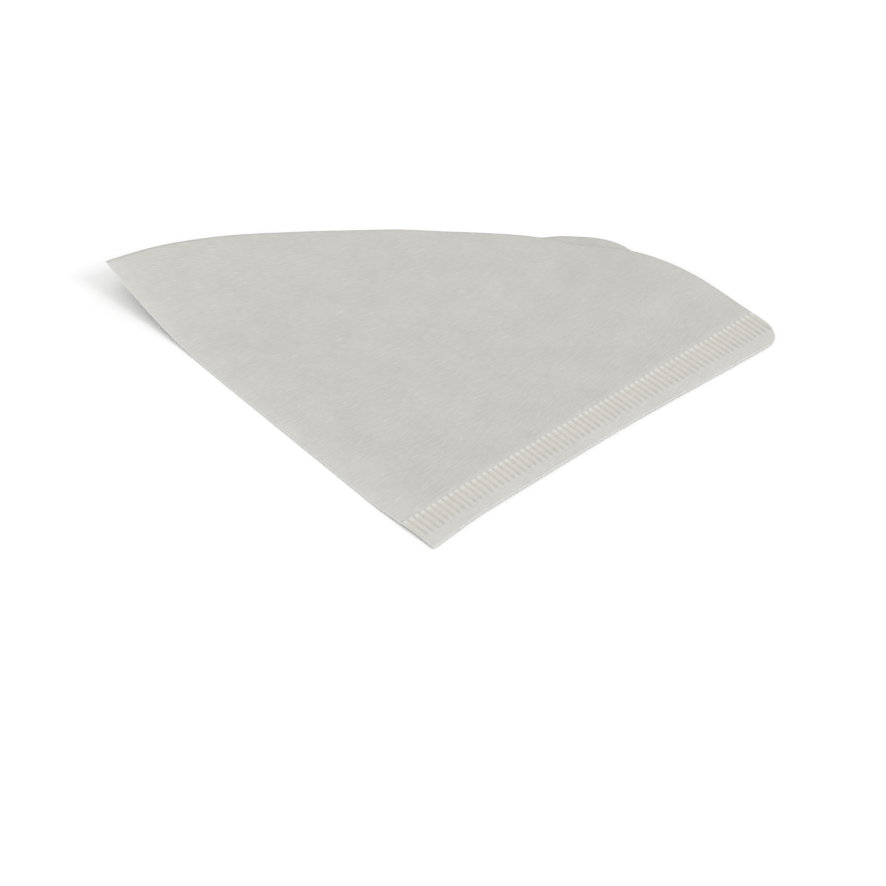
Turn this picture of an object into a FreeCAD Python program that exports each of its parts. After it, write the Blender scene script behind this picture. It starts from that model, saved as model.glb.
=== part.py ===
import FreeCAD, Part
import math
import os
import Sketcher
from FreeCAD import Vector

# Flat-folded cone filter, made of one sheet of paper, in millimetres.
# The body's own X runs along the crimped seam, Y along the fold, Z up from the
# underside, and its zero is the cone tip, where the fold meets the seam line.

SIZES = [
    ("slant_radius", 121.0, "cone tip to mouth, along the fold or the seam line"),
    ("ply", 0.22, "one layer of paper"),
    ("crimp_width", 6.6, "crimped band, outside the seam line"),
    ("edge_margin", 3.6, "plain strip between the band and the cut edge"),
    ("corner_radius", 6.0, "rounded corner where the seam meets the mouth"),
    ("crimp_pitch", 1.76, "spacing of the crimp ridges"),
    ("crimp_bar", 1.16, "width of one ridge at its foot"),
    ("crimp_crown", 0.6, "width of one ridge across its crown"),
    ("crimp_rise", 0.2, "height of a ridge, and depth of the groove under it"),
    ("crimp_start", 1.2, "fold edge to the middle of the first ridge"),
    ("tab_angle", 25.0, "middle of the pull tab, in degrees from the seam"),
    ("tab_height", 3.5, "pull tab, beyond the mouth"),
    ("tab_crown", 12.0, "radius of the tab's crown"),
    ("tab_root_seam", 7.0, "radius of the tab's root towards the seam"),
    ("tab_root_fold", 22.0, "radius of the tab's root towards the fold"),
    ("mouth_gap", 1.2, "rise of the upper layer's arch at the mouth"),
    ("opening_angle", 50.0, "width of that arch, in degrees from the seam"),
    ("crease_gap", 0.05, "opening between the layers where they lie flat"),
    ("land", 1.2, "closed strip inside the fold edge and the seam line"),
    ("fold_bevel", 0.17, "bevel along the fold, which rounds it off"),
    ("curl_angle", 15.0, "way that the fold's corner curls up, in degrees from the fold"),
    ("curl_start", 74.0, "cone tip to the foot of the curl, that way"),
    ("curl_radius", 120.0, "radius of the curl, to the sheet's underside"),
]

doc = FreeCAD.newDocument("paper_cone_filter")
sizes = doc.addObject("Spreadsheet::Sheet", "Sizes")
for row, (alias, number, note) in enumerate(SIZES, start=1):
    sizes.set(f"A{row}", note)
    sizes.set(f"B{row}", str(number))
    sizes.setAlias(f"B{row}", alias)
doc.recompute()

body = doc.addObject("PartDesign::Body", "ConeFilter")
body.Label = "cone_filter"

ZERO = Vector(0, 0, 0)
UP = Vector(0, 0, 1)
FLANGE = "(Sizes.crimp_width + Sizes.edge_margin)"
LAND_TOP = "(Sizes.ply + Sizes.crease_gap)"
SHEET_TOP = "(2 * Sizes.ply + Sizes.crease_gap)"
# Shares of the slant radius that hold the whole outline, across and behind.
ACROSS = 2.1
BEHIND = 0.5
# The untrimmed layers' far corners lie at 1.45 slant radii.
TRIM_REACH = 1.6


def size(alias):
    return float(sizes.get(alias))


def polar(radius, angle):
    return Vector(radius * math.cos(angle), radius * math.sin(angle), 0)


def bearing(start, end):
    return math.atan2(end.y - start.y, end.x - start.x)


# Sketches and features

def new_sketch(name, role):
    """A sketch of the body on the origin plane with this role."""
    sketch = body.newObject("Sketcher::SketchObject", name)
    plane = next(item for item in body.Origin.OriginFeatures if item.Role == role)
    sketch.AttachmentSupport = (plane, "")
    sketch.MapMode = "FlatFace"
    return sketch


def line(sketch, start, end):
    return sketch.addGeometry(Part.LineSegment(start, end))


def constrain(sketch, kind, *where):
    return sketch.addConstraint(Sketcher.Constraint(kind, *where))


def draw_loop(sketch, corners):
    """Closed loop of straight lines; line 0 starts at the first corner."""
    count = len(corners)
    for number, start in enumerate(corners):
        line(sketch, start, corners[(number + 1) % count])
    for number in range(count):
        constrain(sketch, "Coincident", number, 2, (number + 1) % count, 1)


def arc(sketch, centre, radius, first, last):
    circle = Part.Circle(centre, UP, radius)
    return sketch.addGeometry(Part.ArcOfCircle(circle, first, last))


def dimension(sketch, name, expression, kind, *where):
    """A named constraint whose value follows the size sheet."""
    index = constrain(sketch, kind, *where)
    sketch.renameConstraint(index, name)
    sketch.setExpression(f"Constraints.{name}", expression)


def feature(kind, name, sketch, **expressions):
    item = body.newObject(f"PartDesign::{kind}", name)
    item.Profile = sketch
    for key, expression in expressions.items():
        item.setExpression(key, expression)
    sketch.Visibility = False
    return item


# Outline seen from above, and the pull tab beyond it

def tab_side(root, side):
    """Centre of the tab's root arc, on one side of the tab's middle."""
    crown_reach = size("slant_radius") + size("tab_height") - size("tab_crown")
    root_reach = size("slant_radius") + root
    apart = size("tab_crown") + root
    cosine = (crown_reach ** 2 + root_reach ** 2 - apart ** 2) / (2 * crown_reach * root_reach)
    return polar(root_reach, math.radians(size("tab_angle")) + side * math.acos(cosine))


def draw_tab(name):
    """Root, crown and root again, closed by a chord inside the mouth."""
    sketch = new_sketch(name, "XY_Plane")
    radius = size("slant_radius")
    middle = math.radians(size("tab_angle"))
    crown_radius = size("tab_crown")
    crown_centre = polar(radius + size("tab_height") - crown_radius, middle)
    seam_centre = tab_side(size("tab_root_seam"), -1)
    fold_centre = tab_side(size("tab_root_fold"), 1)
    seam_bearing = bearing(ZERO, seam_centre)
    fold_bearing = bearing(ZERO, fold_centre)

    seam_root = arc(sketch, seam_centre, size("tab_root_seam"),
                    bearing(seam_centre, crown_centre), bearing(seam_centre, ZERO))
    crown = arc(sketch, crown_centre, crown_radius,
                bearing(crown_centre, seam_centre), bearing(crown_centre, fold_centre))
    fold_root = arc(sketch, fold_centre, size("tab_root_fold"),
                    bearing(fold_centre, ZERO), bearing(fold_centre, crown_centre))
    chord = line(sketch, polar(radius, fold_bearing), polar(radius, seam_bearing))
    mouth = arc(sketch, ZERO, radius, seam_bearing, fold_bearing)
    axis = line(sketch, ZERO, crown_centre)
    sketch.setConstruction(mouth, True)
    sketch.setConstruction(axis, True)

    constrain(sketch, "Tangent", seam_root, 1, crown, 1)
    constrain(sketch, "Tangent", crown, 2, fold_root, 2)
    constrain(sketch, "Tangent", fold_root, 1, mouth, 2)
    constrain(sketch, "Tangent", seam_root, 2, mouth, 1)
    constrain(sketch, "Coincident", chord, 1, mouth, 2)
    constrain(sketch, "Coincident", chord, 2, mouth, 1)
    constrain(sketch, "Coincident", mouth, 3, -1, 1)
    constrain(sketch, "Coincident", axis, 1, -1, 1)
    constrain(sketch, "Coincident", axis, 2, crown, 3)
    dimension(sketch, "root_seam", "Sizes.tab_root_seam", "Radius", seam_root, size("tab_root_seam"))
    dimension(sketch, "root_fold", "Sizes.tab_root_fold", "Radius", fold_root, size("tab_root_fold"))
    dimension(sketch, "crown", "Sizes.tab_crown", "Radius", crown, crown_radius)
    dimension(sketch, "mouth", "Sizes.slant_radius", "Radius", mouth, radius)
    dimension(sketch, "tab_axis", "Sizes.tab_angle * 1deg", "Angle", -1, 1, axis, 1, middle)
    dimension(sketch, "tab_reach", "Sizes.slant_radius + Sizes.tab_height - Sizes.tab_crown",
              "Distance", axis, 1, axis, 2, crown_centre.Length)
    return sketch


def draw_surround(name):
    """All that lies outside the cut edge, rounded corner, mouth and fold edge."""
    sketch = new_sketch(name, "XY_Plane")
    radius = size("slant_radius")
    flange = size("crimp_width") + size("edge_margin")
    corner_radius = size("corner_radius")
    corner_drop = flange - corner_radius
    corner_centre = Vector(math.sqrt((radius - corner_radius) ** 2 - corner_drop ** 2), -corner_drop, 0)

    cut_edge = line(sketch, Vector(0, -flange, 0), Vector(corner_centre.x, -flange, 0))
    corner = arc(sketch, corner_centre, corner_radius, -math.pi / 2, bearing(ZERO, corner_centre))
    mouth = arc(sketch, ZERO, radius, bearing(ZERO, corner_centre), math.pi / 2)
    fold_edge = line(sketch, Vector(0, radius, 0), Vector(0, -flange, 0))
    surround = sketch.addGeometry(Part.Circle(ZERO, UP, TRIM_REACH * radius))

    constrain(sketch, "Horizontal", cut_edge)
    constrain(sketch, "Vertical", fold_edge)
    constrain(sketch, "Coincident", fold_edge, 2, cut_edge, 1)
    constrain(sketch, "PointOnObject", fold_edge, 2, -2)
    constrain(sketch, "Tangent", cut_edge, 2, corner, 1)
    constrain(sketch, "Tangent", corner, 2, mouth, 1)
    constrain(sketch, "Coincident", mouth, 3, -1, 1)
    constrain(sketch, "Coincident", mouth, 2, fold_edge, 1)
    constrain(sketch, "Coincident", surround, 3, -1, 1)
    dimension(sketch, "mouth", "Sizes.slant_radius", "Radius", mouth, radius)
    dimension(sketch, "corner", "Sizes.corner_radius", "Radius", corner, corner_radius)
    dimension(sketch, "flange", FLANGE, "DistanceY", cut_edge, 1, -1, 1, flange)
    dimension(sketch, "surround", f"{TRIM_REACH} * Sizes.slant_radius", "Radius", surround,
              TRIM_REACH * radius)
    return sketch


# Lens between the layers: a shallow arch beside the seam, down to a point

def draw_arch(name, level):
    """Arch across the opening, as far from the lens's point as the mouth is."""
    half_angle = math.radians(size("opening_angle") / 2)
    half_width = size("slant_radius") * math.tan(half_angle)
    point_to_mouth = size("slant_radius") - size("land") * (math.cos(half_angle) + math.sin(half_angle))
    rise = size("mouth_gap") * size("slant_radius") / point_to_mouth
    radius = (half_width ** 2 + rise ** 2) / (2 * rise)
    spread = math.asin(half_width / radius)

    sketch = new_sketch(name, "XZ_Plane")
    chord = line(sketch, Vector(-half_width, 0, 0), Vector(half_width, 0, 0))
    arch = arc(sketch, Vector(0, rise - radius, 0), radius, math.pi / 2 - spread, math.pi / 2 + spread)
    constrain(sketch, "Coincident", chord, 1, arch, 2)
    constrain(sketch, "Coincident", chord, 2, arch, 1)
    constrain(sketch, "Symmetric", chord, 1, chord, 2, -1, 1)
    constrain(sketch, "PointOnObject", chord, 1, -1)
    half = "(Sizes.opening_angle / 2 * 1deg)"
    wide = f"(Sizes.slant_radius * tan({half}))"
    high = (f"(Sizes.mouth_gap * Sizes.slant_radius"
            f" / (Sizes.slant_radius - Sizes.land * (cos({half}) + sin({half}))))")
    dimension(sketch, "half_width", wide, "DistanceX", -1, 1, chord, 2, half_width)
    dimension(sketch, "bend", f"({wide} ^ 2 + {high} ^ 2) / (2 * {high})", "Radius", arch, radius)

    turn = FreeCAD.Rotation(Vector(0, 1, 0), size("opening_angle") / 2 - 90)
    sketch.AttachmentOffset = FreeCAD.Placement(ZERO, turn)
    sketch.setExpression("AttachmentOffset.Base.x", f"Sizes.slant_radius * cos({half}) + Sizes.land")
    sketch.setExpression("AttachmentOffset.Base.y", level)
    sketch.setExpression("AttachmentOffset.Base.z", f"-(Sizes.slant_radius * sin({half}) + Sizes.land)")
    return sketch


def draw_point(name, level):
    sketch = new_sketch(name, "XZ_Plane")
    sketch.addGeometry(Part.Point(ZERO))
    constrain(sketch, "Coincident", 0, 1, -1, 1)
    sketch.setExpression("AttachmentOffset.Base.x", "Sizes.land")
    sketch.setExpression("AttachmentOffset.Base.y", level)
    sketch.setExpression("AttachmentOffset.Base.z", "-Sizes.land")
    return sketch


def lens(kind, name, level):
    item = feature(kind, name, draw_arch(f"{name}Arch", level))
    item.Sections = [(draw_point(f"{name}Point", level), ["Vertex1"])]
    item.Ruled = True
    doc.recompute()
    return item


# The two layers, joined at the fold and in the seam, with one corner curled up

def draw_layer_side(name, low, high, low_level, high_level):
    """Side view of a layer: straight, then bending up about the curl's centre."""
    radius = size("curl_radius")
    foot = size("curl_start")
    back = -BEHIND * size("slant_radius")
    reach = math.asin((size("slant_radius") - foot) / radius) - math.pi / 2
    centre = Vector(foot, radius, 0)

    sketch = new_sketch(name, "YZ_Plane")
    under = line(sketch, Vector(back, low_level, 0), Vector(foot, low_level, 0))
    under_curl = arc(sketch, centre, radius - low_level, -math.pi / 2, reach)
    end = line(sketch, centre + polar(radius - low_level, reach), centre + polar(radius - high_level, reach))
    top_curl = arc(sketch, centre, radius - high_level, -math.pi / 2, reach)
    top = line(sketch, Vector(foot, high_level, 0), Vector(back, high_level, 0))
    start = line(sketch, Vector(back, high_level, 0), Vector(back, low_level, 0))

    constrain(sketch, "Horizontal", under)
    constrain(sketch, "Horizontal", top)
    constrain(sketch, "Vertical", start)
    constrain(sketch, "Coincident", start, 2, under, 1)
    constrain(sketch, "Coincident", top, 2, start, 1)
    constrain(sketch, "Tangent", under, 2, under_curl, 1)
    constrain(sketch, "Tangent", top_curl, 1, top, 1)
    constrain(sketch, "Coincident", under_curl, 2, end, 1)
    constrain(sketch, "Coincident", top_curl, 2, end, 2)
    constrain(sketch, "Coincident", top_curl, 3, under_curl, 3)
    constrain(sketch, "PointOnObject", under_curl, 3, end)
    dimension(sketch, "curl_start", "Sizes.curl_start", "DistanceX", -1, 1, under_curl, 3, foot)
    dimension(sketch, "curl_height", "Sizes.curl_radius", "DistanceY", -1, 1, under_curl, 3, radius)
    dimension(sketch, "under_radius", f"Sizes.curl_radius - {low}", "Radius", under_curl,
              radius - low_level)
    dimension(sketch, "top_radius", f"Sizes.curl_radius - {high}", "Radius", top_curl,
              radius - high_level)
    dimension(sketch, "behind", f"{BEHIND} * Sizes.slant_radius", "DistanceX", start, 2, -1, 1, -back)
    dimension(sketch, "ahead", "Sizes.slant_radius", "DistanceX", -1, 1, end, 1, size("slant_radius"))

    sketch.AttachmentOffset = FreeCAD.Placement(ZERO, FreeCAD.Rotation(Vector(0, 1, 0), size("curl_angle")))
    return sketch


def layer(name, low, high, low_level, high_level):
    """A layer that runs beyond the outline on all sides."""
    side = draw_layer_side(f"{name}Side", low, high, low_level, high_level)
    item = feature("Pad", name, side, Length=f"{ACROSS} * Sizes.slant_radius")
    item.Midplane = True
    doc.recompute()
    return item


def draw_square(name):
    """Inner corner beside fold and seam, far sides beyond the mouth."""
    near = size("land")
    side = size("slant_radius")
    far = near + side
    corners = [Vector(near, near, 0), Vector(far, near, 0), Vector(far, far, 0), Vector(near, far, 0)]
    sketch = new_sketch(name, "XY_Plane")
    draw_loop(sketch, corners)
    for number in range(4):
        constrain(sketch, "Vertical" if number % 2 else "Horizontal", number)
    dimension(sketch, "from_fold", "Sizes.land", "DistanceX", -1, 1, 0, 1, near)
    dimension(sketch, "from_seam", "Sizes.land", "DistanceY", -1, 1, 0, 1, near)
    dimension(sketch, "along", "Sizes.slant_radius", "DistanceX", 0, 1, 0, 2, side)
    dimension(sketch, "across", "Sizes.slant_radius", "DistanceY", 1, 1, 1, 2, side)
    return sketch


def cut_upwards(name, sketch):
    """Cuts from the underside up through all layers."""
    item = feature("Pocket", name, sketch, Length="Sizes.curl_radius")
    item.Reversed = True
    doc.recompute()
    return item


ply = size("ply")
gap = size("crease_gap")
layer("Land", "Sizes.ply", LAND_TOP, ply, ply + gap)
cut_upwards("Opening", draw_square("OpeningSquare"))
layer("LowerLayer", "0", "Sizes.ply", 0, ply)
layer("UpperLayer", LAND_TOP, SHEET_TOP, ply + gap, 2 * ply + gap)
lens("AdditiveLoft", "TopLens", SHEET_TOP)
outline = cut_upwards("Outline", draw_surround("Surround"))


def fold_edges(shape):
    """Names of the long edges that run along the fold, underneath and on top."""
    tolerance = ply / 100
    names = []
    for number, edge in enumerate(shape.Edges, start=1):
        box = edge.optimalBoundingBox()
        on_fold = abs(box.XMin) < tolerance and abs(box.XMax) < tolerance
        if on_fold and box.YLength > size("corner_radius"):
            names.append(f"Edge{number}")
    return names


fold_bevel = body.newObject("PartDesign::Chamfer", "FoldBevel")
fold_bevel.Base = (outline, fold_edges(outline.Shape))
fold_bevel.setExpression("Size", "Sizes.fold_bevel")
doc.recompute()

feature("Pad", "PullTab", draw_tab("TabOutline"), Length="Sizes.ply")
doc.recompute()
lens("SubtractiveLoft", "MouthLens", LAND_TOP)

# Crimped seam: a row of ridges with a groove under each


def draw_bar(name, level, low):
    """Section of one ridge or groove: sloping flanks and a flat crown."""
    foot = size("crimp_bar") / 2
    crown = size("crimp_crown") / 2
    middle = size("crimp_start")
    high = low + size("crimp_rise")
    outline = [Vector(middle - foot, low, 0), Vector(middle + foot, low, 0),
               Vector(middle + crown, high, 0), Vector(middle - crown, high, 0)]
    sketch = new_sketch(name, "XZ_Plane")
    draw_loop(sketch, outline)
    constrain(sketch, "Horizontal", 0)
    constrain(sketch, "Horizontal", 2)
    constrain(sketch, "Equal", 1, 3)
    dimension(sketch, "foot", "Sizes.crimp_bar", "DistanceX", 0, 1, 0, 2, 2 * foot)
    dimension(sketch, "crown", "Sizes.crimp_crown", "DistanceX", 2, 2, 2, 1, 2 * crown)
    dimension(sketch, "rise", "Sizes.crimp_rise", "DistanceY", 0, 1, 2, 2, high - low)
    dimension(sketch, "place", "Sizes.crimp_start - Sizes.crimp_bar / 2", "DistanceX",
              -1, 1, 0, 1, middle - foot)
    if low:
        dimension(sketch, "level", level, "DistanceY", -1, 1, 0, 1, low)
    else:
        constrain(sketch, "PointOnObject", 0, 1, -1)
    return sketch


ridge_section = draw_bar("RidgeSection", SHEET_TOP, 2 * ply + gap)
ridge = feature("Pad", "Ridge", ridge_section, Length="Sizes.crimp_width")
doc.recompute()
groove = feature("Pocket", "Groove", draw_bar("GrooveSection", "0", 0), Length="Sizes.crimp_width")
groove.Reversed = True
doc.recompute()

crimps = body.newObject("PartDesign::LinearPattern", "Crimps")
crimps.Originals = [ridge, groove]
x_axis = next(item for item in body.Origin.OriginFeatures if item.Role == "X_Axis")
crimps.Direction = (x_axis, [""])
COUNT = "floor((Sizes.slant_radius - 2 * Sizes.crimp_start) / Sizes.crimp_pitch)"
crimps.setExpression("Occurrences", f"{COUNT} + 1")
crimps.setExpression("Length", f"{COUNT} * Sizes.crimp_pitch")
body.Tip = crimps

# Own frame: middle of the footprint, on the underside

body.setExpression("Placement.Base.x", "-Sizes.slant_radius / 2")
body.setExpression("Placement.Base.y", f"-(Sizes.slant_radius - {FLANGE}) / 2")
doc.recompute()

for item in doc.Objects:
    if "Invalid" in item.State or "Error" in item.State:
        raise RuntimeError(f"{item.Label} did not build: {item.State}")
if body.Shape.isNull() or not body.Shape.isValid() or len(body.Shape.Solids) != 1:
    raise RuntimeError("the filter is not one sound solid")

os.makedirs("parts", exist_ok=True)
body.Shape.exportStep(f"parts/{body.Label}.step")
print(f"{body.Label}: volume {body.Shape.Volume:.1f} cubic mm, box {body.Shape.BoundBox}")
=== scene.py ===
import math

import bmesh
import bpy
from mathutils import Matrix, Vector, noise


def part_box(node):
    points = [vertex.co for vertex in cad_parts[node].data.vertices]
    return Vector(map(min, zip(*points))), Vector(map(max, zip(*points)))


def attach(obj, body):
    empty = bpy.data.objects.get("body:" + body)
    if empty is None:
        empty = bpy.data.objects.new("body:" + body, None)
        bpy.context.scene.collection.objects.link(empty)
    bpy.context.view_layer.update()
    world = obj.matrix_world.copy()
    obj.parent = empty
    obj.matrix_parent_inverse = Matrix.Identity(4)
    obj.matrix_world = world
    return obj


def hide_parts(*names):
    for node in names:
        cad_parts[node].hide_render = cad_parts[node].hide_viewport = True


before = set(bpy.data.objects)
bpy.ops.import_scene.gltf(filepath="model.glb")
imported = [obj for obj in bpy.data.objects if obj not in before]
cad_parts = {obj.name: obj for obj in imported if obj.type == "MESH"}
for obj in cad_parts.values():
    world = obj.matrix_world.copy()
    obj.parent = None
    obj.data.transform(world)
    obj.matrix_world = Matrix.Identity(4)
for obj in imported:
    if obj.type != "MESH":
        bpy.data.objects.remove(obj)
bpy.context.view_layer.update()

# Sizes are in metres, and turns on the sheet are in degrees from the fold. The tip is where the
# fold meets the seam line. Places are counted from it: along the seam is X, along the fold is Y.
LOW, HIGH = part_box("cone_filter")
SLANT = HIGH.x - LOW.x
FLANGE = HIGH.y - LOW.y - SLANT
TIP = Vector((LOW.x, LOW.y + FLANGE, 0))

# The paper, the radius of the bend that joins its layers, the height of the plane between them,
# and how far the bend's centre lies in from the fold
PAPER = 0.00022
LAYER_GAP = 0.00004
BEND = (PAPER + LAYER_GAP) / 2
MIDDLE = PAPER + LAYER_GAP / 2
FOLD_INSET = BEND + PAPER / 2

# The flange's rounded corner, and the pull tab: a crown that meets the mouth's arc in a round root
# on each side
CORNER_RADIUS = 0.0075
TAB_ANGLE = 25.0
TAB_HEIGHT = 0.0047
TAB_CROWN = 0.02
TAB_ROOTS = {"seam": 0.006, "fold": 0.014}

# The row of crimps. The pitch is the one at the tip, and it grows towards the mouth. Each crimp
# is a little stronger or weaker, from a noise in which neighbours are one step apart.
CRIMP_BAND = 0.007
CRIMP_PITCH = 0.001685
CRIMP_SPREAD = 0.054
CRIMP_START = 0.0007
CRIMP_UNEVEN = 0.3
UNEVEN_STEP = 3.7
RIDGE_RISE = 0.00024
VALLEY_SINK = 0.00016

# One crimp's profile. Across it, 0 is the middle of the ridge and 1 is the middle of the valley.
# Down it, 0 is the seam line and 1 is the outer edge of the band. A run is the two ends of a soft
# step, and falls, rises and leans are shares.
RIDGE_SIDE_RUN = (0.4, 0.95)
RIDGE_END = 0.1
RIDGE_END_BOW = 0.05
RIDGE_FALL = 0.5
RIDGE_FALL_RUN = (0.15, 1.0)
# The dome at each ridge's inner end, which also carries a painted highlight
DOME_RISE = 0.5
DOME_MIDDLE = 0.08
DOME_REACH = 0.08
# Warm painted light along each ridge: where it starts, how far it fades, and its lean to the tip-side
# flank
WARM_START_RUN = (0.12, 0.28)
WARM_FALL = 0.7
WARM_FALL_RUN = (0.3, 0.95)
WARM_LEAN = 0.6
# Each valley, which also carries painted shade: where it starts, deepens from shallow and ends
VALLEY_START_RUN = (0.05, 0.2)
VALLEY_DEEPEN_RUN = (0.5, 0.9)
VALLEY_SHALLOW = 0.3
VALLEY_END_RUN = (0.88, 1.0)

# The curled corner: an even bend across a line that leans out from the fold by this angle. It
# starts this far along the line from the tip.
CURL_ANGLE = 15.0
CURL_START = 0.074
CURL_RADIUS = 0.12

# The bowed mouth and the parted layers. A hump is its middle and its reach to each side, and
# starts and the gap's run are shares of the slant.
WAVE_TURN = 75.1
WAVE_RISE = 0.0021
WAVE_HUMP = (WAVE_TURN, 13.0)
WAVE_START = 0.45
DRAW_IN = 0.0032
DRAW_HUMP = (40.0, 31.0)
DRAW_START = 0.5
DRAW_RIPPLE = 0.0006
RIPPLE_HUMPS = [(46.5, 7.5), (58.0, 6.0)]
RIPPLE_START = 0.8
CORNER_DRAW_IN = 0.0014
CORNER_TURNS = (82.0, 95.0)
MOUTH_GAP = 0.0005
WIDE_GAP_SHARE = 0.7
WIDE_GAP_HUMP = (35.0, 32.0)
WAVE_GAP_HUMP = (WAVE_TURN, 9.0)
GAP_RUN = (0.15, 1.05)

# How the straight sides bow, and where each bow starts, ends and fades
BAND_BOW = 0.0014
BAND_BOW_RUN = (-0.06, 0.06)
BAND_BOW_FADE = 0.02
MARGIN_BOW = 0.0015
MARGIN_BOW_RUN = (-0.006, 0.018)
MARGIN_FLARE = 0.0025
MARGIN_FLARE_RUN = (0.05, 0.13)
FOLD_BOW = 0.001
FOLD_BOW_GROWS = 0.01
FOLD_BOW_FALLS = 0.07
FOLD_BOW_FADE = 0.03

# Soft unevenness of the upper layer: rise, size across and seed of each kind of wave
SOFT_WAVES = [(0.00016, 0.022, 3.0), (0.00006, 0.008, 8.0)]
WAVE_STRETCH = 1.4
LAYER_REST = 0.0001
INLAND = 0.02
FLANGE_CLEARANCE = 1.3 * VALLEY_SINK
FLANGE_RAMP = 0.015

# How much painted highlight the fold's bend, the cut edge and the paper beside the fold get, and how
# much paler the crimped flange and its outer margin are
BEND_HIGHLIGHT = 0.65
CUT_EDGE_HIGHLIGHT = 0.6
FLANGE_PALENESS = 0.17
FLANGE_PALENESS_RUN = (-0.0014, 0.0004)
MARGIN_PALENESS = 0.03
FOLD_HIGHLIGHTS = [(0.1, 0.0, 0.004), (0.08, 0.002, 0.014)]

# The mesh. Rows across the crimped band are given as their height and count, from the seam line
# out, and points closer together than a touch are one.
FAN_RINGS = 128
FAN_STEPS = 84
BEND_STEPS = 3
COLUMN_CUTS = 4
BAND_ROWS = [(0.00025, 4), (0.00076, 6), (0.00036, 4)]
MARGIN_ROWS = 3
EDGE_ROW = 0.00012
TOUCH = 0.000002


def smooth(value, start, end):
    """0 before start, 1 after end, and a soft step between."""
    share = min(max((value - start) / (end - start), 0.0), 1.0)
    return share * share * (3 - 2 * share)


# Shape of the folded sheet


def edges_where(bm, test):
    """Edges with both ends in a place that passes the test."""
    return [edge for edge in bm.edges if all(test(vert.co) for vert in edge.verts)]


def draw_on(bm, edges, travel, count):
    """Adds rows of faces beside these edges, each one travel further, and gives the last edges."""
    made = bmesh.ops.spin(bm, geom=edges, cent=(0, 0, 0), axis=(0, 0, 1), dvec=travel,
                          angle=0, steps=count)
    return [part for part in made["geom_last"] if isinstance(part, bmesh.types.BMEdge)]


def flat_layer(bm):
    """Half of the sheet, flat: a quarter fan about the tip, and its flange."""
    def on_seam(place):
        return abs(place.y) < TOUCH

    tip = bm.verts.new((FOLD_INSET, 0, MIDDLE + BEND))
    step = (SLANT - FOLD_INSET) / FAN_RINGS
    draw_on(bm, [tip], (step, 0, 0), FAN_RINGS)
    bmesh.ops.spin(bm, geom=bm.edges[:], cent=tip.co, axis=(0, 0, 1),
                   angle=math.pi / 2, steps=FAN_STEPS)
    bmesh.ops.remove_doubles(bm, verts=bm.verts, dist=TOUCH)

    bmesh.ops.subdivide_edges(bm, edges=edges_where(bm, on_seam), cuts=COLUMN_CUTS)
    row = edges_where(bm, on_seam)
    for height, count in BAND_ROWS:
        row = draw_on(bm, row, (0, -height, 0), count)
    margin = FLANGE - EDGE_ROW - sum(height * count for height, count in BAND_ROWS)
    row = draw_on(bm, row, (0, -margin / MARGIN_ROWS, 0), MARGIN_ROWS)
    draw_on(bm, row, (0, -EDGE_ROW, 0), 1)


def mouth_limit(along_fold):
    """How far the flange reaches from the fold's line, at this place below the seam line."""
    drop = FLANGE - CORNER_RADIUS
    centre = math.sqrt((SLANT - CORNER_RADIUS) ** 2 - drop ** 2)
    if along_fold > -drop * SLANT / (SLANT - CORNER_RADIUS):
        return math.sqrt(SLANT ** 2 - along_fold ** 2)
    return centre + math.sqrt(max(CORNER_RADIUS ** 2 - (along_fold + drop) ** 2, 0))


def round_corner(bm):
    """Draws the last few columns of the flange in to the rounded corner."""
    start = SLANT - 2 * CORNER_RADIUS
    for vert in bm.verts:
        if vert.co.y < 0 and vert.co.x > start:
            share = (vert.co.x - start) / (SLANT - start)
            vert.co.x = start + share * (mouth_limit(vert.co.y) - start)


def tab_reach(angle):
    """How far the lower layer's mouth stands out beyond the arc, for the pull tab."""
    middle = math.radians(TAB_ANGLE)
    swing = abs(angle - middle)
    root = TAB_ROOTS["fold" if angle > middle else "seam"]
    crown_centre = SLANT + TAB_HEIGHT - TAB_CROWN
    root_centre = SLANT + root
    apart = TAB_CROWN + root
    cosine = (crown_centre ** 2 + root_centre ** 2 - apart ** 2) / (2 * crown_centre * root_centre)
    root_swing = math.acos(cosine)
    if swing >= root_swing:
        return 0.0
    crown_share = TAB_CROWN / apart
    meet_side = root_centre * math.sin(root_swing) * crown_share
    meet_front = crown_centre + (root_centre * math.cos(root_swing) - crown_centre) * crown_share
    if swing <= math.atan2(meet_side, meet_front):
        near = crown_centre * math.sin(swing)
        return crown_centre * math.cos(swing) + math.sqrt(TAB_CROWN ** 2 - near ** 2) - SLANT
    away = root_swing - swing
    near = root_centre * math.sin(away)
    return root_centre * math.cos(away) - math.sqrt(max(root ** 2 - near ** 2, 0)) - SLANT


def draw_out_tab(bm):
    """Stretches the lower layer's last rings out to the pull tab's edge."""
    tip = Vector((FOLD_INSET, 0, 0))
    start = SLANT - 2 * TAB_HEIGHT
    for vert in bm.verts:
        if vert.co.z > MIDDLE or vert.co.y < 0:
            continue
        arm = Vector((vert.co.x, vert.co.y, 0)) - tip
        if arm.length < start:
            continue
        share = (arm.length - start) / (SLANT - FOLD_INSET - start)
        stretch = 1 + share * tab_reach(math.atan2(arm.y, arm.x)) / arm.length
        vert.co.x = tip.x + arm.x * stretch
        vert.co.y = tip.y + arm.y * stretch


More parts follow.
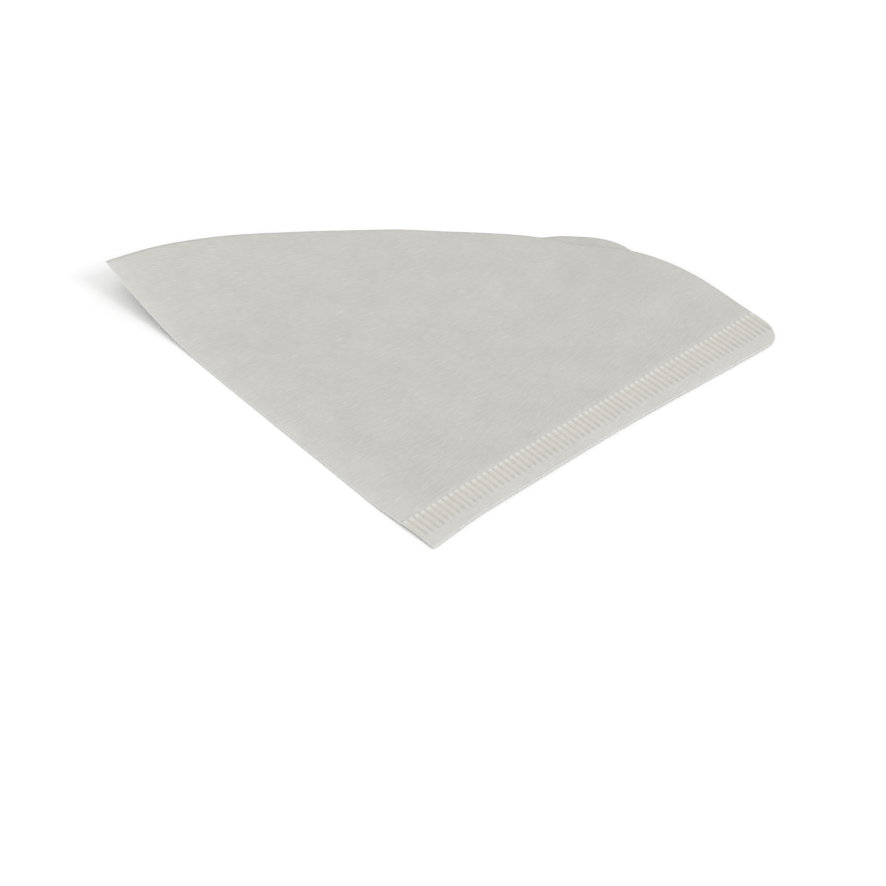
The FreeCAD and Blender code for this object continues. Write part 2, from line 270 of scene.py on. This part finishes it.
def folded_sheet():
    """Upper layer, half of the fold's bend, and the same again mirrored below."""
    bm = bmesh.new()
    flat_layer(bm)
    round_corner(bm)
    fold_line = edges_where(bm, lambda place: abs(place.x - FOLD_INSET) < TOUCH)
    bmesh.ops.spin(bm, geom=fold_line, cent=(FOLD_INSET, 0, MIDDLE), axis=(0, 1, 0),
                   angle=-math.pi / 2, steps=BEND_STEPS)
    bmesh.ops.mirror(bm, geom=bm.verts[:] + bm.edges[:] + bm.faces[:], axis="Z",
                     matrix=Matrix.Translation((0, 0, -MIDDLE)), merge_dist=TOUCH)
    bmesh.ops.remove_doubles(bm, verts=bm.verts, dist=TOUCH)
    draw_out_tab(bm)
    bmesh.ops.recalc_face_normals(bm, faces=bm.faces)
    return bm


# Relief of the folded sheet: crimps, parted layers, soft waves


def evened(along_seam):
    """The same place on a seam whose crimps don't spread towards the mouth."""
    return along_seam * (1 - CRIMP_SPREAD * along_seam / SLANT)


def crimp(along_seam, along_fold):
    """Height of the crimped band against the plain flange, and its shares of painted dome highlight,
    painted ridge light and painted valley shade.
    """
    turn = (evened(along_seam) - CRIMP_START) / CRIMP_PITCH
    number = round(turn)
    past_end = number < 0 or CRIMP_START + number * CRIMP_PITCH > evened(SLANT) - CRIMP_START
    if past_end or along_fold > 0 or along_fold < -CRIMP_BAND:
        return 0.0, 0.0, 0.0, 0.0
    side = (turn - number) * 2
    depth = -along_fold / CRIMP_BAND
    ridge = 1 - smooth(abs(side), *RIDGE_SIDE_RUN)
    bow = RIDGE_END_BOW * side ** 2
    ended = ridge * smooth(depth, bow, RIDGE_END + bow)
    # The dome also carries a painted highlight
    dome_and_highlight = ended * math.exp(-((depth - DOME_MIDDLE) / DOME_REACH) ** 2)
    bar = ended * (1 - RIDGE_FALL * smooth(depth, *RIDGE_FALL_RUN))
    # Warm painted light along the ridge, heavier on its tip-side flank
    ridge_light = ridge * smooth(depth, *WARM_START_RUN)
    ridge_light *= (1 - WARM_FALL * smooth(depth, *WARM_FALL_RUN)) * (1 - WARM_LEAN * side)
    # The valley also carries a painted shade
    valley_and_shade = (1 - ridge) * smooth(depth, *VALLEY_START_RUN) * (1 - smooth(depth, *VALLEY_END_RUN))
    valley_and_shade *= VALLEY_SHALLOW + (1 - VALLEY_SHALLOW) * smooth(depth, *VALLEY_DEEPEN_RUN)
    strength = 1 + CRIMP_UNEVEN * noise.noise(Vector((number * UNEVEN_STEP, 0, 0)))
    height = RIDGE_RISE * (bar + DOME_RISE * dome_and_highlight) - VALLEY_SINK * valley_and_shade
    return strength * height, dome_and_highlight, ridge_light, valley_and_shade


def swell(turn, middle, reach):
    """1 in the middle of a soft hump and 0 this many degrees to each side."""
    return max(1 - ((turn - middle) / reach) ** 2, 0.0) ** 1.5


def polar(along_seam, along_fold):
    """Distance from the tip, and degrees from the fold."""
    return math.hypot(along_seam, along_fold), math.degrees(math.atan2(along_seam, along_fold))


def lift(along_seam, along_fold):
    """Height of the whole sheet: its corner curls up, its mouth waves, its flange clears the floor."""
    reach, turn = polar(along_seam, along_fold)
    way = math.radians(CURL_ANGLE)
    beyond = max(along_fold * math.cos(way) - along_seam * math.sin(way) - CURL_START, 0.0)
    curl = CURL_RADIUS - math.sqrt(CURL_RADIUS ** 2 - beyond ** 2)
    wave = WAVE_RISE * smooth(reach, WAVE_START * SLANT, SLANT) ** 1.5 * swell(turn, *WAVE_HUMP)
    return curl + wave + FLANGE_CLEARANCE * (1 - smooth(along_fold, 0.0, FLANGE_RAMP))


def draw_in(along_seam, along_fold):
    """Share of its distance from the tip that the bowed mouth keeps."""
    reach, turn = polar(along_seam, along_fold)
    inward, outward = [swell(turn, *hump) for hump in RIPPLE_HUMPS]
    rippled = DRAW_RIPPLE * (inward - outward) + CORNER_DRAW_IN * smooth(turn, *CORNER_TURNS)
    drawn = DRAW_IN * swell(turn, *DRAW_HUMP) * smooth(reach, DRAW_START * SLANT, SLANT)
    return 1 - (drawn + rippled * smooth(reach, RIPPLE_START * SLANT, SLANT)) / SLANT


def seam_bow(along_seam, along_fold):
    """How far the flange lies from its straight place, towards the sheet's middle."""
    band = BAND_BOW * smooth(along_seam, *BAND_BOW_RUN) * (1 - smooth(along_fold, 0.0, BAND_BOW_FADE))
    edge = MARGIN_BOW * smooth(along_seam, *MARGIN_BOW_RUN)
    edge -= MARGIN_FLARE * smooth(along_seam, *MARGIN_FLARE_RUN)
    return band + (edge - band) * smooth(-along_fold, 0.0, FLANGE)


def fold_bow(along_seam, along_fold):
    """How far the fold lies outside its straight place."""
    grown = smooth(along_fold, -FLANGE, FOLD_BOW_GROWS) * (1 - smooth(along_fold, FOLD_BOW_FALLS, SLANT))
    return FOLD_BOW * grown * (1 - smooth(along_seam, 0.0, FOLD_BOW_FADE))


def parting(along_seam, along_fold):
    """Gap between the layers: widest at the mouth, in two unequal waves."""
    if along_fold <= 0:
        return 0.0
    reach, turn = polar(along_seam, along_fold)
    waves_apart = WIDE_GAP_SHARE * swell(turn, *WIDE_GAP_HUMP) + swell(turn, *WAVE_GAP_HUMP)
    start, end = GAP_RUN
    return MOUTH_GAP * waves_apart * smooth(reach, start * SLANT, end * SLANT)


def unevenness(along_seam, along_fold):
    """Height of the upper layer's soft waves, which fade out towards the seam and the fold."""
    inland = smooth(along_seam, 0.0, INLAND) * smooth(along_fold, 0.0, INLAND)
    waves = sum(rise * noise.noise(Vector((along_seam / size, along_fold / size * WAVE_STRETCH, seed)))
                for rise, size, seed in SOFT_WAVES)
    return inland * (waves + LAYER_REST)


def rim_share(along_seam, along_fold):
    """Share of the pale rim tone: painted highlight, most on the fold's bend and the cut edge and less
    beside the fold, and paler paper over the flange.
    """
    if along_seam < FOLD_INSET - TOUCH:
        return BEND_HIGHLIGHT
    if along_fold < TOUCH - FLANGE:
        return CUT_EDGE_HIGHLIGHT
    flange = FLANGE_PALENESS * smooth(-along_fold, *FLANGE_PALENESS_RUN)
    flange += MARGIN_PALENESS * smooth(-along_fold, CRIMP_BAND, FLANGE)
    beside_fold = sum(light * (1 - smooth(along_seam, start, end)) for light, start, end in FOLD_HIGHLIGHTS)
    return max(beside_fold, flange)


def relief(bm):
    """Moves the flat sheet's points to their real places, and keeps the shares that the finish reads."""
    dome_highlights, ridge_lights, valley_shades, rims = [bm.verts.layers.float.new(name)
                                   for name in ("dome_and_highlight", "ridge_light", "valley_and_shade", "rim")]
    for vert in bm.verts:
        along_seam, along_fold = vert.co.x, vert.co.y
        layer = max(-1.0, min(1.0, (vert.co.z - MIDDLE) / BEND))
        upper = (layer + 1) / 2
        crimped, vert[dome_highlights], vert[ridge_lights], vert[valley_shades] = crimp(along_seam, along_fold)
        vert[rims] = rim_share(along_seam, along_fold)
        height = lift(along_seam, along_fold) + crimped
        height += upper * (parting(along_seam, along_fold) + unevenness(along_seam, along_fold))
        keep = draw_in(along_seam, along_fold)
        vert.co = Vector((along_seam * keep - fold_bow(along_seam, along_fold),
                          along_fold * keep + seam_bow(along_seam, along_fold), vert.co.z + height))


def link_mesh(name, bm):
    """A new object in the scene with this mesh."""
    mesh = bpy.data.meshes.new(name)
    bm.to_mesh(mesh)
    bm.free()
    made = bpy.data.objects.new(name, mesh)
    bpy.context.scene.collection.objects.link(made)
    return made


def build_filter():
    """The whole sheet as one piece, which a modifier gives the paper's thickness."""
    bm = folded_sheet()
    relief(bm)
    bmesh.ops.translate(bm, vec=TIP, verts=bm.verts)
    piece = link_mesh("cone_filter_paper", bm)
    piece.data.shade_smooth()
    wall = piece.modifiers.new("paper thickness", "SOLIDIFY")
    wall.thickness = PAPER
    wall.offset = 0
    return piece


# Finishes


class Tone:
    """A value, colour or place inside a finish, which sums and products can be made of."""

    def __init__(self, finish, socket):
        self.finish = finish
        self.socket = socket

    def maths(self, operation, other):
        """This value and another, or a number, put through a Math node."""
        return self.finish.node("ShaderNodeMath", {"operation": operation}, {0: self, 1: other})

    def __add__(self, other):
        return self.maths("ADD", other)

    def __mul__(self, other):
        return self.maths("MULTIPLY", other)

    __radd__ = __add__
    __rmul__ = __mul__


class Finish:
    """The nodes of a material or of the world, written as expressions."""

    def __init__(self, owner):
        owner.use_nodes = True
        self.owner = owner
        self.tree = owner.node_tree
        self.tree.nodes.clear()

    def node(self, kind, settings=None, inputs=None, output=0):
        """Adds a node with these settings, and these values or tones at its inputs."""
        made = self.tree.nodes.new(kind)
        for key, value in (settings or {}).items():
            setattr(made, key, value)
        for key, value in (inputs or {}).items():
            if isinstance(value, Tone):
                self.tree.links.new(value.socket, made.inputs[key])
            else:
                made.inputs[key].default_value = value
        return Tone(self, made.outputs[output])

    def stretched(self, place, length, width, turn=0.0):
        """Places for a pattern this long along the grain and this wide, turned by so many degrees."""
        return self.node("ShaderNodeMapping", {"vector_type": "TEXTURE"},
                         {"Vector": place, "Scale": (length, width, width),
                          "Rotation": (0, 0, math.radians(turn))})

    def converging(self, place, centre, reach):
        """Places along and across lines that run to a far centre, true to size at this reach."""
        arm = self.node("ShaderNodeVectorMath", {"operation": "SUBTRACT"}, {0: centre, 1: place})
        along = self.node("ShaderNodeVectorMath", {"operation": "LENGTH"}, {0: arm}, "Value")
        ahead, aside = [self.node("ShaderNodeSeparateXYZ", None, {"Vector": arm}, axis)
                        for axis in ("X", "Y")]
        across = aside.maths("ARCTAN2", ahead) * reach
        return self.node("ShaderNodeCombineXYZ", None, {"X": along, "Y": across})

    def cloud(self, place, scale=1.0, detail=2.0, roughness=0.5):
        """A noise from 0 to 1, as fine as its scale."""
        return self.node("ShaderNodeTexNoise", None,
                         {"Vector": place, "Scale": scale, "Detail": detail, "Roughness": roughness})

    def step(self, value, spread, high=1.0):
        """Runs from 0 to high as the value runs through this spread."""
        start, end = spread
        return self.node("ShaderNodeMapRange", {"interpolation_type": "SMOOTHSTEP"},
                         {"Value": value, "From Min": start, "From Max": end, "To Max": high})

    def mix(self, share, first, second):
        """The first colour where the share is 0, and the second where it is 1."""
        return self.node("ShaderNodeMix", {"data_type": "RGBA"}, {0: share, 6: first, 7: second}, 2)

    def in_view(self):
        """1 for rays that the camera sees by, also in a mirror or through glass, and 0 for others."""
        seen, mirrored, through = [self.node("ShaderNodeLightPath", output=name) for name in
                                   ("Is Camera Ray", "Is Glossy Ray", "Is Transmission Ray")]
        return seen.maths("MAXIMUM", mirrored).maths("MAXIMUM", through)

    def cover(self, shader, end="ShaderNodeOutputMaterial"):
        """Gives the owner this shader as its surface, and gives the owner back."""
        surface = self.tree.nodes.new(end).inputs["Surface"]
        self.tree.links.new(shader.socket, surface)
        return self.owner


def shade(red, green, blue):
    """A colour given as it shows, from 0 to 255."""
    def plain(level):
        level /= 255
        return level / 12.92 if level <= 0.04045 else ((level + 0.055) / 1.055) ** 2.4
    return plain(red), plain(green), plain(blue), 1.0


# Filter paper: its tones, the values of the noise between which each one grows, and how much of
# the last tone it covers
THIN_PULP = shade(191, 190, 184)
THICK_PULP = shade(197, 196, 190)
STREAK = shade(210, 209, 203)
FIBRE = shade(226, 225, 219)
# Painted highlight on the fold's bend, the cut edge and beside the fold, and a paler tone over the
# flange
PALE_RIM_AND_HIGHLIGHT = shade(240, 240, 238)
# Warm painted light along the crimp ridges
RIDGE_PAINTED_LIGHT = shade(215, 208, 196)
# Painted highlight on the crimp domes
DOME_HIGHLIGHT = shade(232, 231, 227)
# Painted shade in the crimp valleys
VALLEY_PAINTED_SHADE = shade(176, 170, 156)
PULP_SPREAD = (0.3, 0.7)
STREAK_SPREAD = (0.3, 0.7)
STREAK_COVER = 0.35
FIBRE_SPREAD = (0.72, 0.8)
FIBRE_COVER = 0.34
RIDGE_LIGHT_COVER = 0.48
DOME_HIGHLIGHT_COVER = 0.72
VALLEY_SHADE_COVER = 0.26

# Its grain runs to a far point beyond the mouth. Sizes are the length along it and the width.
GRAIN_CENTRE = TIP + Vector((0.23, 0.017, 0))
GRAIN_REACH = 0.18
STREAK_SIZE = (0.0025, 0.0005)
CREASE_SIZE = (0.0055, 0.0016)
FIBRE_SIZE = (0.0032, 0.00045)
FIBRE_TURN = 5.0
FUZZ_SCALE = 4200.0
PULP_SCALE = 95.0
CRINKLE_DEPTH = 0.00021
STREAK_RISE = 0.9
FUZZ_RISE = 0.07
FIBRE_RISE = 0.1


def filter_paper():
    """Matt off-white paper: cloudy pulp, a crinkled grain, pale fibres and worked crimps, with painted
    highlights on the fold's bend, the cut edge and the crimp domes, painted light along the crimp
    ridges, painted shade in their valleys, and a paler flange.
    """
    finish = Finish(bpy.data.materials.new("filter_paper"))
    place = finish.node("ShaderNodeTexCoord", output="Object")
    grain = finish.converging(place, GRAIN_CENTRE, GRAIN_REACH)

    streaks = finish.cloud(finish.stretched(grain, *STREAK_SIZE), detail=2.0, roughness=0.55)
    creases = finish.cloud(finish.stretched(grain, *CREASE_SIZE), detail=3.0)
    specks = finish.cloud(finish.stretched(grain, *FIBRE_SIZE, FIBRE_TURN), detail=0.0)
    fibres = finish.step(specks, FIBRE_SPREAD)
    fuzz = finish.cloud(place, FUZZ_SCALE, detail=1.0)
    pulp = finish.cloud(place, PULP_SCALE, detail=5.0, roughness=0.62)
    dome_and_highlight, ridge_light, valley_and_shade, rim = [finish.node("ShaderNodeAttribute", {"attribute_name": name}, output="Fac")
                               for name in ("dome_and_highlight", "ridge_light", "valley_and_shade", "rim")]

    tone = finish.mix(finish.step(pulp, PULP_SPREAD), THIN_PULP, THICK_PULP)
    tone = finish.mix(finish.step(streaks, STREAK_SPREAD, STREAK_COVER), tone, STREAK)
    tone = finish.mix(fibres * FIBRE_COVER, tone, FIBRE)
    # Painted highlight on the fold's bend, the cut edge and beside the fold, and a paler tone over the
    # flange
    tone = finish.mix(rim, tone, PALE_RIM_AND_HIGHLIGHT)
    # Warm painted light along the crimp ridges, heavier on their tip-side flanks
    tone = finish.mix(ridge_light * RIDGE_LIGHT_COVER, tone, RIDGE_PAINTED_LIGHT)
    # Painted highlight on the crimp domes
    tone = finish.mix(dome_and_highlight * DOME_HIGHLIGHT_COVER, tone, DOME_HIGHLIGHT)
    # Painted shade in the crimp valleys
    tone = finish.mix(valley_and_shade * VALLEY_SHADE_COVER, tone, VALLEY_PAINTED_SHADE)

    crinkle = streaks * STREAK_RISE + creases + fuzz * FUZZ_RISE + fibres * FIBRE_RISE
    bump = finish.node("ShaderNodeBump", None,
                       {"Strength": 0.9, "Distance": CRINKLE_DEPTH, "Height": crinkle})
    paper = finish.node("ShaderNodeBsdfPrincipled", None, {
        "Base Color": tone, "Roughness": 0.9, "Normal": bump,
        "Specular IOR Level": 0.25, "Sheen Weight": 0.15, "Sheen Roughness": 0.5,
    })
    return finish.cover(paper)


# Stage: floor, light and camera

WHITE = (1.0, 1.0, 1.0, 1.0)
FLOOR_HALF = 3.0
FLOOR_DROP = 0.00004
FLOOR_GREY = (0.8, 0.8, 0.8, 1.0)

SKY_LEVEL = 0.89
FULL_LEVEL = 1.03
LAMP_AZIMUTH = -205.0
LAMP_ELEVATION = 34.0
LAMP_SOFTNESS = 24.0

VIEW_AZIMUTH = 41.78
VIEW_ELEVATION = 40.97
VIEW_ROLL = 0.6
VIEW_DISTANCE = 0.37836
VIEW_CENTRE = TIP + Vector((0.02516, 0.0154, 0))
PHOTO_SIDE = 886
FOCAL_PIXELS = 1600


def aim(azimuth, elevation, roll=0.0):
    """Turns something that looks along -Z to look down at this elevation."""
    turn = Matrix.Rotation(math.radians(-azimuth), 3, "Z")
    tilt = Matrix.Rotation(math.radians(90 - elevation), 3, "X")
    return turn @ tilt @ Matrix.Rotation(math.radians(roll), 3, "Z")


def lay_floor():
    """A floor that shows white and lights the paper from below as pale grey."""
    bm = bmesh.new()
    bmesh.ops.create_grid(bm, x_segments=1, y_segments=1, size=FLOOR_HALF,
                          matrix=Matrix.Translation((0, 0, -FLOOR_DROP)))
    floor = link_mesh("floor", bm)
    finish = Finish(bpy.data.materials.new("pale_floor"))
    tone = finish.mix(finish.in_view(), FLOOR_GREY, WHITE)
    chalky = finish.node("ShaderNodeBsdfDiffuse", None, {"Color": tone})
    floor.data.materials.append(finish.cover(chalky))


def light_sky():
    """An even sky, which shows white and lights a little below that."""
    finish = Finish(bpy.data.worlds.new("studio"))
    level = finish.node("ShaderNodeMapRange", None,
                        {"Value": finish.in_view(), "To Min": SKY_LEVEL, "To Max": 1.0})
    sky = finish.node("ShaderNodeBackground", None, {"Color": WHITE, "Strength": level})
    bpy.context.scene.world = finish.cover(sky, "ShaderNodeOutputWorld")


def hang_lamp():
    """A wide soft sun, which with the sky gives level paper its full light."""
    lamp = bpy.data.lights.new("key", "SUN")
    lamp.angle = math.radians(LAMP_SOFTNESS)
    lamp.energy = (FULL_LEVEL - SKY_LEVEL) * math.pi / math.sin(math.radians(LAMP_ELEVATION))
    key = bpy.data.objects.new("key", lamp)
    key.rotation_euler = aim(LAMP_AZIMUTH + 180, LAMP_ELEVATION).to_euler()
    bpy.context.scene.collection.objects.link(key)


def place_camera():
    """The photo's own view of the filter."""
    camera = bpy.data.cameras.new("camera")
    camera.sensor_width = 36.0
    camera.lens = camera.sensor_width * FOCAL_PIXELS / PHOTO_SIDE
    camera.clip_start = 0.01
    viewer = bpy.data.objects.new("camera", camera)
    turn = aim(VIEW_AZIMUTH, VIEW_ELEVATION, VIEW_ROLL)
    place = VIEW_CENTRE + turn @ Vector((0, 0, VIEW_DISTANCE))
    viewer.matrix_world = Matrix.Translation(place) @ turn.to_4x4()
    bpy.context.scene.collection.objects.link(viewer)
    bpy.context.scene.camera = viewer


bpy.context.scene.view_settings.view_transform = "Standard"
place_camera()
light_sky()
hang_lamp()
lay_floor()

paper = build_filter()
paper.data.materials.append(filter_paper())
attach(paper, "root")
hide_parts("cone_filter")
